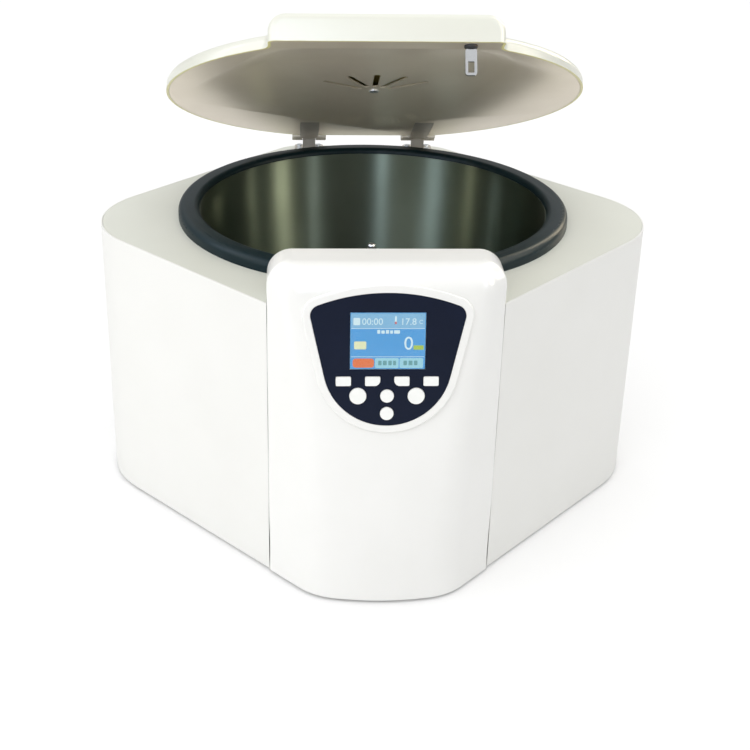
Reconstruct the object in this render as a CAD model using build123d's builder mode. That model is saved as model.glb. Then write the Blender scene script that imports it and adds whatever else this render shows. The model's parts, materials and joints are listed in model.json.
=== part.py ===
# Cytocentrifuge: a bench centrifuge that spins cell samples onto microscope slides.
# A steel bowl hangs in a diamond-plan cabinet, under a round lid hinged at the back.
# Millimetres, +Z up. The origin is the middle of the footprint, on the bench, and the front faces -Y.
# Heights are measured from the bench, and plan positions from the bowl's axis.
import os
from math import atan, cos, radians, sin, sqrt, tan

from build123d import *

os.makedirs("parts", exist_ok=True)

# ---- Bowl: the cabinet is laid out round it ----
axis_y = 28.0  # the bowl's axis stands this far behind the origin
bowl_radius = 181.0  # inside
bowl_wall = 1.2
bowl_floor = 95.0  # top of the floor
bowl_corner = 18.0
bowl_cone_radius = 52.0
bowl_cone_rise = 5.0
bowl_hole = 34.0
bowl_clearance = 1.8  # bowl to the deck's collar

# ---- Cabinet ----
front_turn = radians(46.5)  # the front faces' normals, from straight ahead
rear_turn = radians(48.5)  # the rear faces' normals, from straight back
front_room = 64.3  # from inside the bowl to a front face
rear_room = 43.4  # to a rear face
back_room = 57.0  # to the flat back
front_reach = bowl_radius + front_room
rear_reach = bowl_radius + rear_room
back_reach = bowl_radius + back_room
side_radius = 101.0  # plan radius of the left and right corners
back_radius = 36.0  # plan radius where a rear face meets the back
nose_radius = 20.0  # plan radius of the front corner, which the fascia takes away
sheet = 1.5  # panel sheet
panel_bottom = 3.0
panel_flange = 12.0  # turned-in edges of the side panels
panel_gap = 0.3  # between neighbouring covers
back_panel_inset = 9.05  # the flat back panel ends this far short of the plan's corners
back_panel_half = (rear_reach - back_reach * cos(rear_turn)) / sin(rear_turn) - back_panel_inset
back_panel_return = 10.0
deck_top = 286.3
deck_thick = 3.0
base_bottom = 10.0
base_thick = 2.0
base_rim = 12.0
foot_radius = 18.0
front_foot_inset = 45.7  # feet to the front faces
front_foot_slide = 58.4  # and along them, outwards from the middle
rear_foot_inset = 36.7
foot_groove = 2.0

# ---- Bowl's surround ----
collar_width = 8.0
collar_rise = 5.7
collar_top = deck_top + collar_rise
rim_lap = 8.5  # how far the bowl's rim reaches over the collar
gasket_width = 22.5
gasket_height = 13.0
gasket_radius = bowl_radius + gasket_width
gasket_top = deck_top + gasket_height
gasket_lip = 0.5  # the gasket's inner edge stands this far outside the bowl's wall
gasket_round = 7.0
gasket_flat = 0.3  # below the round of its inner edge

# ---- Chassis and motor ----
chassis_drop = 9.0  # below the bowl's floor
chassis_thick = 4.0
chassis_bottom = bowl_floor - chassis_drop
chassis_top = chassis_bottom + chassis_thick
guard_gap = 5.0  # round the bowl
guard_wall = 6.0
guard_inner = bowl_radius + guard_gap
guard_headroom = 17.3  # below the deck's sheet
guard_height = deck_top - deck_thick - guard_headroom - chassis_top
chassis_margin = 12.0  # outside the guard ring
chassis_radius = guard_inner + guard_wall + chassis_margin
chassis_window = 26.0
chassis_window_inset = 69.0
window_circle_radius = chassis_radius - chassis_window_inset
post_radius = 9.0
post_inset = 20.0
post_circle_radius = chassis_radius - post_inset
motor_radius = 62.0
motor_bottom = 20.0
mount_height = 10.0
flange_thick = 6.0
motor_height = chassis_bottom - mount_height - flange_thick - motor_bottom
motor_fins = 24
motor_fin_depth = 5.0
motor_fin_width = 4.0
flange_radius = 92.0
mount_radius = 11.0
mount_inset = 16.0
mount_circle_radius = flange_radius - mount_inset
bearing_radius = 16.0
bearing_width = 9.0
shaft_radius = 8.0
shaft_clearance = 0.05
shaft_tip = 3.0  # the shaft narrows by this much at its top
boot_wall = 2.5
boot_clearance = 0.6

# ---- Control overlay, display and keys, across and up the control panel ----
shield_arc = 57.6
shield_centre = 44.1
shield_lean = radians(12.8)
shield_crown_radius = 176.0
shield_corner = 10.0
crown_margin = 17.7  # above the screen
overlay_thick = 1.0
overlay_gap = 0.3
screen_width = 67.0
screen_height = 52.0
screen_lip = 4.0
window_thick = 0.8
window_gap = 0.2
key_pitch = 26.0
key_proud = 0.9
key_travel = 0.8
key_gap = 0.3
key_flange = 0.8
key_flange_thick = 1.0
key_stem = 1.6
switch_size = 6.0
soft_key_width = 13.4
soft_key_height = 8.5
soft_key_round = 1.2
soft_key_scoop = 5.0
big_key_radius = 7.5
small_key_radius = 6.0
stop_key_rise = 11.7  # above the shield's foot
big_key_rise = 16.4  # above the stop key
soft_key_rise = 13.7  # above the big keys
soft_key_drop = 10.7  # below the screen
stop_key_up = shield_centre - shield_arc + stop_key_rise
big_key_up = stop_key_up + big_key_rise
soft_key_up = big_key_up + soft_key_rise
screen_middle = soft_key_up + soft_key_drop + screen_height / 2
shield_crown = screen_middle + screen_height / 2 + crown_margin
module_depth = 8.0
board_width = 112.0
board_height = 104.0
board_drop = 19.0  # below the screen's middle
board_middle = screen_middle - board_drop
board_thick = 1.6
pillar_radius = 3.5
upper_pillar = (6.0, 13.0)  # in from the board's upper corners
lower_pillar = (15.0, 16.0)  # and from its lower corners

# ---- Fascia: the moulded front that carries the controls ----
fascia_clear = 8.5  # behind the fascia, to the gasket
fascia_rear = -(gasket_radius + fascia_clear)
fascia_rise = 40.5  # above the deck
fascia_top = deck_top + fascia_rise
fascia_wall = 3.0
foot_reach = 54.0  # the foot's front, ahead of the front faces' distance
foot_bow = 8.0  # how far the front bows forward at the foot
panel_back = 14.3  # the control panel's foot stands this far behind the foot's front
top_bow = 1.0  # and at its top
bow_share = 0.45  # of the front's half width, curved
fascia_foot_y = -(front_reach + foot_reach)
cheek_proud = 1.5  # the cheeks stand this far outside the front faces
cheek_width = 15.1  # of a cheek at its top, across
crease_foot = 60.0  # plan radius between front and cheek, at the foot
crease_top = 26.0  # and at the top
fascia_edge = 6.0  # plan radius where a cheek meets a side
fascia_round = 22.0  # over the top
lean = radians(10.0)  # of the control panel
crown_drop = 19.75  # the shield's crown, below the fascia's top
panel_y = fascia_foot_y + panel_back  # a point on the control panel's face
panel_z = fascia_top - crown_drop - shield_crown * cos(lean)
bead = 7.0  # raised border round the overlay
bead_proud = 1.5
bead_round = 1.2
panel_block = 7.0  # depth of the thick stretch behind the controls
panel_skin = 2.5
top_crease_y = panel_y + (fascia_top - panel_z) * tan(lean) + top_bow
top_crease_x = (front_reach + cheek_proud + top_crease_y * cos(front_turn)) / sin(front_turn)
fascia_half = top_crease_x + cheek_width

# ---- Lid hinges ----
hinge_x = 65.0
hinge_setback = 18.0  # in from the flat back
hinge_rise = 3.9  # above the lid's underside
lid_gap = 0.3  # the closed lid to the gasket
lid_underside = gasket_top + lid_gap
hinge_y = back_reach - hinge_setback
hinge_z = lid_underside + hinge_rise
knuckle_radius = 5.5
hinge_width = 40.0
stem_width = 15.0
stem_thick = 8.0
knuckle_gap = 0.4
pin_radius = 3.0
pin_clearance = 0.05
hinge_foot_width = 34.0
hinge_foot_depth = 24.0
hinge_foot_thick = 3.0
strap_width = 21.0
strap_thick = 3.0
strap_reach = 92.0  # ahead of the pin
strap_start = hinge_y - strap_reach
strap_clear = 6.5  # strap plate stays this far from the pin's axis
screw_radius = 2.0
screw_head = 3.6
screw_head_height = 1.6

# ---- Lid ----
lid_open = 28.0  # degrees, as the lid stands here
lid_overhang = 9.5  # past the gasket
lid_radius = gasket_radius + lid_overhang
chord_clear = 22.0  # the round is cut flat this far ahead of the pins
lid_chord = hinge_y - chord_clear
lid_rim = 14.0  # height of the round part
lid_round = 9.0
lid_wall = 2.5
tab_inset = 1.5  # the tab is this much narrower than the fascia at each side
tab_clear = 2.0  # and stands this far behind it
tab_half = fascia_half - tab_inset
tab_front = fascia_rear + tab_clear
tab_height = 25.9
tab_corner = 6.0
tab_throat = 15.0  # concave radius between tab and round part
spine_arc = 84.0
spine_centre = -52.0
spine_lean = radians(5.0)
spine_round = 16.0  # over the tab's corners and the spine's sides
tab_round = 7.0  # over the tab's front
chord_corner = 14.0
liner_sheet = 1.5
liner_gap = 0.3
dish_arc = 88.0
dish_past_straps = 12.0  # the dish reaches back between the hinge straps
dish_centre = dish_arc - strap_start - dish_past_straps
dish_lean = radians(13.2)
dish_setback = 24.0  # behind the tab's front
dish_crown = -tab_front - dish_setback
dish_crown_radius = 600.0
dish_corner = 60.0
dish_depth = 6.0
dish_slope = 20.0
slot_start = 17.0
slot_length = 49.0
slot_width = 6.0
slot_turns = (-53.0, -26.0, 0.0, 26.0, 53.0)
rivet_radius = 5.0
boss_radius = 4.0
boss_inset = 28.0  # rim bosses to the lid's edge
boss_turns = (31.0, -10.0, -35.0)
tab_boss_inset = 14.5
tab_boss_setback = 11.0

# ---- Lid lock ----
striker_x = 75.0
striker_setback = 14.0  # behind the fascia
striker_y = fascia_rear + striker_setback
striker_width = 10.5
striker_thick = 3.0
striker_bar = 2.3
striker_window = 10.0
striker_rail = 2.5
stud_radius = 6.0
stud_height = 3.0
slot_side_room = 4.5  # striker to the sides of the deck's opening, both together
slot_end_room = 6.0  # and to its ends
bolt_radius = 2.5
bolt_drop = 3.4  # below the deck's sheet
bolt_length = 46.0
bolt_setback = 1.0  # the bolt's tip stays this far out of the opening
lock_width = 34.0
lock_height = 18.0
lock_ahead = 38.0  # lock frame, ahead of the striker
lock_behind = 9.0
solenoid_radius = 11.0
solenoid_length = 20.0
slot_x = striker_width + slot_side_room
slot_y = striker_thick + slot_end_room
lock_front = striker_y - lock_ahead
lock_back = striker_y + lock_behind
lock_top = deck_top - deck_thick
bolt_z = lock_top - bolt_drop
striker_foot = bolt_z - striker_window / 2 - striker_bar

# ---- Rotor ----
rotor_places = 12
rotor_lift = 12.0  # disc above the bowl's floor
rotor_disc_bottom = bowl_floor + rotor_lift
rotor_disc_thick = 5.0
rotor_hub = 24.0
hub_height = 74.0
rotor_hub_top = rotor_disc_bottom + rotor_disc_thick + hub_height
rim_room = 44.0  # rotor's rim to the bowl's wall
rotor_rim_radius = bowl_radius - rim_room
rotor_rim_wall = 4.2
rotor_rim_height = 34.0
shaft_reach = 40.0  # how far the shaft enters the hub
rotor_port = 9.0  # radius of the lightening holes in the disc
port_circle_radius = 62.0
knob_radius = 20.0
knob_height = 42.0
knob_neck = 8.0
knob_flutes = 8
knob_flute_radius = 5.0
cap_radius = 4.5
cap_height = 23.0
slide_width = 25.0
slide_height = 75.0
slide_thick = 1.0
clip_sheet = 1.2
clip_width = 29.0
clip_height = 72.0
clip_lip = 2.5
clip_seat = 0.3  # the clip's back to the rim
funnel_plate = 23.0
funnel_plate_thick = 2.0
funnel_bore = 3.0
funnel_wall = 1.4
funnel_well = 4.5  # the cup's radius at its foot, inside
funnel_mouth = 7.1
funnel_set_in = 24.0  # cup's axis to the slide
funnel_height = 30.0  # spout's height above the disc
funnel_cup = 34.0

# ---- Back of the cabinet ----
grille_width = 130.0
grille_height = 76.0
grille_drop = 91.3  # below the deck
grille_z = deck_top - grille_drop
grille_frame = 6.0
grille_proud = 3.0
grille_depth = 8.0
grille_slats = 9
slat_thick = 2.0
inlet_x = -38.0
inlet_z = 52.0
inlet_flange = (50.0, 26.0)
inlet_body = (27.5, 20.0)
inlet_mouth = (24.0, 16.0)
inlet_proud = 3.0
inlet_depth = 20.0
inlet_pin = (4.0, 2.0)
inlet_pin_length = 14.0
pin_places = ((0.0, 2.0), (-7.0, -2.0), (7.0, -2.0))
switch_x = 38.0
switch_flange = (24.0, 32.0)
switch_body = (19.0, 27.0)
switch_mouth = (14.5, 22.0)
switch_proud = 2.0
switch_depth = 14.0
rocker_gap = 0.3
rocker_tilt = 8.0  # degrees to each side of level
rocker_depth = 8.0
rocker_face = 3.0  # the rocker's ends stand this far out from its pivot
rocker_dip = 1.2
rocker_set_back = 2.0
rocker_pin = 1.5
rear_screw_inset = 22.0
rear_screw_heights = (base_bottom + rear_screw_inset, deck_top / 2, deck_top - rear_screw_inset)
drive_size = (120.0, 52.0)
drive_setback = 52.0  # in from the flat back
drive_y = back_reach - drive_setback
drive_rise = 6.0
sink_size = (90.0, 34.0)
sink_base = 5.0
sink_height = 32.0
sink_fins = 9

gap = 0.3  # between curved faces of different bodies


def save(piece, name):
    piece.part.label = name
    export_step(piece.part, f"parts/{name}.step")


def level(height, x=0.0, y=0.0):
    """A horizontal plane at a height, with its origin placed from the bowl's axis."""
    return Plane((x, axis_y + y, height))


def upright(y, x=0.0, height=0.0, facing=1):
    """A vertical plane across the cabinet: its normal points back, or forward where facing is -1."""
    return Plane((x, axis_y + y, height), x_dir=(-facing, 0, 0), z_dir=(0, facing, 0))


def across(x, y=0.0, height=0.0):
    """A vertical plane along the cabinet, seen from the right: its own X points back."""
    return Plane((x, axis_y + y, height), x_dir=(0, 1, 0), z_dir=(1, 0, 0))


def body_outline(inset=0.0):
    """The cabinet's plan, a diamond with a flat back, drawn inwards by inset."""
    front, rear, back = front_reach - inset, rear_reach - inset, back_reach - inset
    spread = sin(front_turn + rear_turn)
    side_x = (front * cos(rear_turn) + rear * cos(front_turn)) / spread
    side_y = (rear * sin(front_turn) - front * sin(rear_turn)) / spread
    back_x = (rear - back * cos(rear_turn)) / sin(rear_turn)
    nose = (0, -front / cos(front_turn))
    corners = (nose, (side_x, side_y), (back_x, back), (-back_x, back), (-side_x, side_y))
    side, rear_corner = side_radius - inset, back_radius - inset
    with BuildSketch() as outline:
        with BuildLine():
            FilletPolyline(*corners, radius=(nose_radius, side, rear_corner, rear_corner, side), close=True)
        make_face()
    return outline.sketch


def fascia_room(clearance):
    """The plan rectangle that the fascia takes out of the cabinet's front."""
    with BuildSketch() as room:
        with Locations((0, fascia_rear + clearance - front_reach / 2)):
            Rectangle(2 * (fascia_half + clearance), front_reach)
    return room.sketch


def shield_outline(arc, centre, side_lean, crown, crown_radius, corner, margin=0.0):
    """A shield: a round foot, straight sides that lean out, and a shallow crown with round corners."""
    foot, top = arc + margin, crown_radius + margin
    foot_x, foot_y = foot * cos(side_lean), centre - foot * sin(side_lean)
    rise = foot_y - (crown - crown_radius)
    along = foot_x * sin(side_lean) + rise * cos(side_lean)
    length = sqrt(along**2 - foot_x**2 - rise**2 + top**2) - along
    shoulder_x, shoulder_y = foot_x + length * sin(side_lean), foot_y + length * cos(side_lean)
    with BuildSketch() as shield:
        with BuildLine():
            ThreePointArc((-foot_x, foot_y), (0, centre - foot), (foot_x, foot_y))
            Line((foot_x, foot_y), (shoulder_x, shoulder_y))
            ThreePointArc((shoulder_x, shoulder_y), (0, crown + margin), (-shoulder_x, shoulder_y))
            Line((-shoulder_x, shoulder_y), (-foot_x, foot_y))
        make_face()
        shoulders = [v for v in shield.vertices() if abs(v.Y - shoulder_y) < 0.01]
        fillet(shoulders, radius=corner + margin)
    return shield.sketch


# ================================================================ cabinet
with BuildPart() as base_plate:
    with BuildSketch(level(base_bottom)):
        add(body_outline(sheet + panel_gap))
        add(fascia_room(panel_gap), mode=Mode.SUBTRACT)
    extrude(amount=base_thick)
    with BuildSketch(level(base_bottom + base_thick)):
        add(body_outline(sheet + panel_gap))
        add(body_outline(2 * sheet + panel_gap), mode=Mode.SUBTRACT)
        add(fascia_room(panel_gap), mode=Mode.SUBTRACT)
        with Locations((0, back_reach)):
            Rectangle(2 * back_panel_half, 2 * back_panel_return + 8 * sheet, mode=Mode.SUBTRACT)
    extrude(amount=base_rim)
    with BuildSketch(level(base_bottom)):
        with Locations(*((side * (back_panel_half - sheet / 2), back_reach) for side in (-1, 1))):
            Rectangle(sheet + 2 * panel_gap, 2 * (back_panel_return + panel_gap))
    extrude(amount=base_thick, mode=Mode.SUBTRACT)
save(base_plate, "base_plate")

foot_places = []
for turn, ahead, reach, slide in (
    (front_turn, -1, front_reach - front_foot_inset, front_foot_slide),
    (rear_turn, 1, rear_reach - rear_foot_inset, 0.0),
):
    foot_x = reach * sin(turn) + slide * cos(turn)
    foot_y = ahead * (reach * cos(turn) - slide * sin(turn))
    foot_places += [(-foot_x, foot_y), (foot_x, foot_y)]
with BuildPart() as rubber_feet:
    with BuildSketch(level(0)):
        with Locations(*foot_places):
            Circle(foot_radius)
    extrude(amount=base_bottom)
    fillet(rubber_feet.edges().group_by(Axis.Z)[0], radius=foot_groove)
    with BuildSketch(level(0)):
        with Locations(*foot_places):
            Circle(foot_radius / 2)
    extrude(amount=foot_groove, mode=Mode.SUBTRACT)
save(rubber_feet, "rubber_feet")


def side_panel(side):
    """One wrap-around sheet: front face, round corner and rear face, with turned-in edges."""
    reach = side_radius + front_reach
    bands = (
        (panel_bottom, deck_top - panel_bottom, sheet),
        (panel_bottom, sheet, panel_flange),
        (deck_top - deck_thick - sheet, sheet, panel_flange),
    )
    with BuildPart() as panel:
        for bottom, height, width in bands:
            with BuildSketch(level(bottom)):
                add(body_outline())
                add(body_outline(width), mode=Mode.SUBTRACT)
                add(fascia_room(panel_gap), mode=Mode.SUBTRACT)
                with Locations((side * (back_panel_half + panel_gap + reach / 2), 0)):
                    Rectangle(reach, 3 * reach, mode=Mode.INTERSECT)
            extrude(amount=height)
    return panel


for side, name in ((-1, "left_side_panel"), (1, "right_side_panel")):
    save(side_panel(side), name)

rear_screw_x = back_panel_half - 2 * screw_head
rear_screw_places = [(side * rear_screw_x, height) for side in (-1, 1) for height in rear_screw_heights]
with BuildPart() as rear_panel:
    with BuildSketch(level(panel_bottom)):
        with Locations((0, back_reach - back_panel_return / 2)):
            Rectangle(2 * back_panel_half, back_panel_return)
        with Locations((0, back_reach - sheet - back_panel_return / 2)):
            Rectangle(2 * (back_panel_half - sheet), back_panel_return, mode=Mode.SUBTRACT)
    extrude(amount=deck_top - deck_thick - panel_bottom)
    with BuildSketch(upright(back_reach - sheet)):
        with Locations((0, grille_z)):
            Rectangle(grille_width - 2 * grille_frame, grille_height - 2 * grille_frame)
        with Locations((-inlet_x, inlet_z)):
            Rectangle(*(size + 2 * gap for size in inlet_body))
        with Locations((-switch_x, inlet_z)):
            Rectangle(*(size + 2 * gap for size in switch_body))
        with Locations(*rear_screw_places):
            Circle(screw_radius)
    extrude(amount=sheet, mode=Mode.SUBTRACT)
save(rear_panel, "rear_panel")

deck_hole = bowl_radius + bowl_wall + bowl_clearance
with BuildPart() as top_deck:
    with BuildSketch(level(deck_top - deck_thick)):
        add(body_outline(sheet + panel_gap))
        add(fascia_room(panel_gap), mode=Mode.SUBTRACT)
        Circle(deck_hole, mode=Mode.SUBTRACT)
        with Locations((striker_x, striker_y)):
            Rectangle(slot_x, slot_y, mode=Mode.SUBTRACT)
    extrude(amount=deck_thick)
    with BuildSketch(level(deck_top)):
        Circle(deck_hole + collar_width)
        Circle(deck_hole, mode=Mode.SUBTRACT)
    extrude(amount=collar_top - deck_top)
save(top_deck, "top_deck")

# ================================================================ bowl
with BuildPart() as bowl:
    with BuildSketch(across(0)):
        inner, outer = bowl_radius, bowl_radius + bowl_wall
        rim_z = collar_top + bowl_wall
        cone_z = bowl_floor + bowl_cone_rise
        with BuildLine():
            FilletPolyline(
                (bowl_hole, cone_z), (bowl_cone_radius, bowl_floor), (inner, bowl_floor), (inner, rim_z),
                radius=(bowl_cone_rise, bowl_corner),
            )
            Line((inner, rim_z), (outer + rim_lap, rim_z))
            Line((outer + rim_lap, rim_z), (outer + rim_lap, collar_top))
            Line((outer + rim_lap, collar_top), (outer, collar_top))
            FilletPolyline(
                (outer, collar_top), (outer, bowl_floor - bowl_wall),
                (bowl_cone_radius, bowl_floor - bowl_wall), (bowl_hole, cone_z - bowl_wall),
                radius=(bowl_corner + bowl_wall, bowl_cone_rise + bowl_wall),
            )
            Line((bowl_hole, cone_z - bowl_wall), (bowl_hole, cone_z))
        make_face()
    revolve(axis=Axis((0, axis_y, 0), (0, 0, 1)))
save(bowl, "bowl")

with BuildPart() as bowl_gasket:
    with BuildSketch(across(0)):
        lip = bowl_radius + gasket_lip
        step = collar_top + bowl_wall
        inside = deck_hole + collar_width
        inner_round = gasket_top - step - gasket_flat
        with BuildLine():
            FilletPolyline(
                (gasket_radius, deck_top), (gasket_radius, gasket_top), (lip, gasket_top), (lip, step),
                radius=(gasket_round, inner_round),
            )
            Polyline((lip, step), (inside, step), (inside, deck_top), (gasket_radius, deck_top))
        make_face()
    revolve(axis=Axis((0, axis_y, 0), (0, 0, 1)))
save(bowl_gasket, "bowl_gasket")

with BuildPart() as guard_ring:
    with BuildSketch(level(chassis_top)):
        Circle(guard_inner + guard_wall)
        Circle(guard_inner, mode=Mode.SUBTRACT)
    extrude(amount=guard_height)
save(guard_ring, "guard_ring")

with BuildPart() as chassis_plate:
    with BuildSketch(level(chassis_bottom)):
        Circle(chassis_radius)
        Circle(bowl_hole, mode=Mode.SUBTRACT)
        with PolarLocations(window_circle_radius, 6):
            Circle(chassis_window, mode=Mode.SUBTRACT)
    extrude(amount=chassis_thick)
save(chassis_plate, "chassis_plate")

with BuildPart() as chassis_posts:
    with BuildSketch(level(base_bottom + base_thick)):
        with PolarLocations(post_circle_radius, 4, start_angle=45):
            RegularPolygon(post_radius, 6)
    extrude(amount=chassis_bottom - base_bottom - base_thick)
save(chassis_posts, "chassis_posts")

# ================================================================ motor
flange_bottom = motor_bottom + motor_height
flange_top = flange_bottom + flange_thick
with BuildPart() as motor_housing:
    with BuildSketch(level(motor_bottom)):
        Circle(motor_radius)
        with PolarLocations(motor_radius, motor_fins):
            Rectangle(2 * motor_fin_depth, motor_fin_width, mode=Mode.SUBTRACT)
    extrude(amount=motor_height)
    with BuildSketch(level(flange_bottom)):
        Circle(flange_radius)
    extrude(amount=flange_thick)
    for bottom, height, radius in (
        (motor_bottom, bearing_width, bearing_radius),
        (motor_bottom, motor_height + flange_thick, bearing_radius - 4 * shaft_tip / 3),
        (flange_top - bearing_width, bearing_width, bearing_radius),
    ):
        with BuildSketch(level(bottom)):
            Circle(radius)
        extrude(amount=height, mode=Mode.SUBTRACT)
save(motor_housing, "motor_housing")

with BuildPart() as motor_bearings:
    for bottom in (motor_bottom, flange_top - bearing_width):
        with BuildSketch(level(bottom)):
            Circle(bearing_radius)
            Circle(shaft_radius + shaft_clearance, mode=Mode.SUBTRACT)
        extrude(amount=bearing_width)
save(motor_bearings, "motor_bearings")

with BuildPart() as motor_mounts:
    with BuildSketch(level(flange_top)):
        with PolarLocations(mount_circle_radius, 4, start_angle=45):
            Circle(mount_radius)
    extrude(amount=chassis_bottom - flange_top)
save(motor_mounts, "motor_mounts")

boot_top = rotor_disc_bottom - 4 * boot_clearance
with BuildPart() as shaft_boot:
    with BuildSketch(across(0)):
        throat = shaft_radius + boot_clearance
        skirt = bowl_hole - gap
        with BuildLine():
            Polyline(
                (skirt, chassis_bottom), (skirt, chassis_top + boot_wall),
                (throat + boot_wall, boot_top), (throat, boot_top), (throat, boot_top - boot_wall),
                (skirt - boot_wall, chassis_top), (skirt - boot_wall, chassis_bottom), close=True,
            )
        make_face()
    revolve(axis=Axis((0, axis_y, 0), (0, 0, 1)))
save(shaft_boot, "shaft_boot")

# ================================================================ fascia
foot_swell = (panel_z - panel_bottom) * tan(lean) / (panel_y - fascia_foot_y)


def fascia_front(height):
    """The front's position: upright at the foot, easing into the control panel's lean."""
    if height >= panel_z:
        return panel_y + (height - panel_z) * tan(lean)
    share = max(height - panel_bottom, 0) / (panel_z - panel_bottom)
    return fascia_foot_y + (panel_y - fascia_foot_y) * share**foot_swell


def fascia_section(height, inset=0.0, rear_inset=0.0):
    """The fascia's plan at a height: bowed front, cheeks along the front faces, square back."""
    front, half, rear = fascia_front(height) + inset, fascia_half - inset, fascia_rear - rear_inset
    bow = foot_bow + (top_bow - foot_bow) * height / fascia_top
    cheek = front_reach + cheek_proud - inset
    side_y = (half * sin(front_turn) - cheek) / cos(front_turn)
    crease_y = front + bow
    crease_x = (cheek + crease_y * cos(front_turn)) / sin(front_turn)
    bow_radius = bow_share * crease_x**2 / bow
    apex = front - bow_radius * (1 / cos(atan(bow / crease_x)) - 1)
    cheek_length = sqrt((half - crease_x) ** 2 + (side_y - crease_y) ** 2)
    crease = crease_foot + (crease_top - crease_foot) * height / fascia_top - inset
    crease = min(max(crease, sheet), 1.5 * cheek_length)
    edge = min(max(fascia_edge - inset / 2, 1), cheek_length / 2)
    corners = (
        (half, rear), (half, side_y), (crease_x, crease_y), (0, apex),
        (-crease_x, crease_y), (-half, side_y), (-half, rear),
    )
    with BuildSketch() as section:
        with BuildLine():
            FilletPolyline(*corners, radius=(1, edge, crease, bow_radius, crease, edge, 1), close=True)
        make_face()
    return section.sketch


def panel_level(depth=0.0):
    """A plane parallel to the control panel, its own Y pointing up the panel."""
    face = Plane((0, axis_y + panel_y, panel_z), x_dir=(1, 0, 0), z_dir=(0, -cos(lean), sin(lean)))
    return face.offset(depth)


def overlay_outline(margin=0.0):
    crown = (shield_crown, shield_crown_radius, shield_corner)
    return shield_outline(shield_arc, shield_centre, shield_lean, *crown, margin)


# Every key: its shape, its place across and up the panel, and which lower corner is scooped.
keys = {
    "soft_key_1": ("soft", -1.5 * key_pitch, soft_key_up, 0),
    "soft_key_2": ("soft", -0.5 * key_pitch, soft_key_up, 1),
    "soft_key_3": ("soft", 0.5 * key_pitch, soft_key_up, -1),
    "soft_key_4": ("soft", 1.5 * key_pitch, soft_key_up, 0),
    "minus_key": ("big", -key_pitch, big_key_up, 0),
    "plus_key": ("big", key_pitch, big_key_up, 0),
    "start_key": ("small", 0.0, big_key_up, 0),
    "stop_key": ("small", 0.0, stop_key_up, 0),
}


def key_outline(name, margin=0.0):
    """A key's outline on the control panel, drawn outwards by margin."""
    shape, x, up, scoop = keys[name]
    half_x, half_y = soft_key_width / 2 + margin, soft_key_height / 2 + margin
    small, large = soft_key_round + margin, soft_key_scoop + margin
    corners = [(x + i * half_x, up + j * half_y) for i, j in ((1, 1), (-1, 1), (-1, -1), (1, -1))]
    radii = (small, small, large if scoop < 0 else small, large if scoop > 0 else small)
    with BuildSketch() as outline:
        if shape == "soft":
            with BuildLine():
                FilletPolyline(*corners, radius=radii, close=True)
            make_face()
        else:
            with Locations((x, up)):
                Circle((big_key_radius if shape == "big" else small_key_radius) + margin)
    return outline.sketch


def screen_outline(margin=0.0):
    """The display's opening on the control panel, drawn outwards by margin."""
    with BuildSketch() as outline:
        with Locations((0, screen_middle)):
            Rectangle(screen_width + 2 * margin, screen_height + 2 * margin)
    return outline.sketch


all_pillars = []
for way, (in_x, in_y) in ((1, upper_pillar), (-1, lower_pillar)):
    pillar_x, pillar_up = board_width / 2 - in_x, board_middle + way * (board_height / 2 - in_y)
    all_pillars += [(-pillar_x, pillar_up), (pillar_x, pillar_up)]
board_face = -panel_skin - module_depth


def fascia_form(inset=0.0):
    """The fascia as one solid block: its plan draws in over the top, as a round does."""
    spring = fascia_top - fascia_round
    heights = (panel_bottom, 0.35 * panel_z, 0.7 * panel_z, panel_z, (panel_z + spring) / 2, spring - bead)
    levels = [(height, inset) for height in heights]
    for turn in (0, 22.5, 45, 67.5, 90):
        rise, away = sin(radians(turn)), 1 - cos(radians(turn))
        levels.append((spring + (fascia_round - inset) * rise, inset + (fascia_round - inset) * away))
    with BuildPart() as form:
        for height, away in levels:
            with BuildSketch(level(height)):
                add(fascia_section(height, away, inset))
        loft()
    return form.part


with BuildPart() as front_fascia:
    add(fascia_form())
    add(fascia_form(fascia_wall), mode=Mode.SUBTRACT)
    with BuildSketch(panel_level(-panel_block)):
        add(overlay_outline(bead))
    extrude(amount=panel_block + bead_proud)
    bead_face = panel_level(bead_proud)
    edges = front_fascia.edges()
    crest = [edge for edge in edges if abs(bead_face.to_local_coords(edge.center()).Z) < 0.01]
    fillet(crest, radius=bead_round)
    with BuildSketch(panel_level(bead_proud)):
        add(overlay_outline())
    extrude(amount=-overlay_thick, mode=Mode.SUBTRACT)
    with BuildSketch(panel_level(-panel_block)):
        add(overlay_outline(-fascia_wall))
    extrude(amount=panel_block - panel_skin, mode=Mode.SUBTRACT)
    with BuildSketch(panel_level(-panel_skin)):
        add(screen_outline(window_gap))
        for name in keys:
            add(key_outline(name, key_gap))
    extrude(amount=panel_skin + bead_proud, mode=Mode.SUBTRACT)
    with BuildSketch(panel_level(board_face)):
        with Locations(*all_pillars):
            Circle(pillar_radius)
    extrude(amount=module_depth)
    doorway = upright(fascia_rear + gap, height=(deck_top - deck_thick + base_bottom) / 2, facing=-1)
    with BuildSketch(doorway):
        Rectangle(2 * (fascia_half - 5 * fascia_wall), deck_top - deck_thick - base_bottom)
    extrude(amount=2 * fascia_wall, mode=Mode.SUBTRACT)
save(front_fascia, "front_fascia")

with BuildPart() as control_overlay:
    with BuildSketch(panel_level(bead_proud - overlay_thick)):
        add(overlay_outline(-overlay_gap))
        add(screen_outline(window_gap), mode=Mode.SUBTRACT)
        for name in keys:
            add(key_outline(name, key_gap), mode=Mode.SUBTRACT)
    extrude(amount=overlay_thick)
save(control_overlay, "control_overlay")

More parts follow.
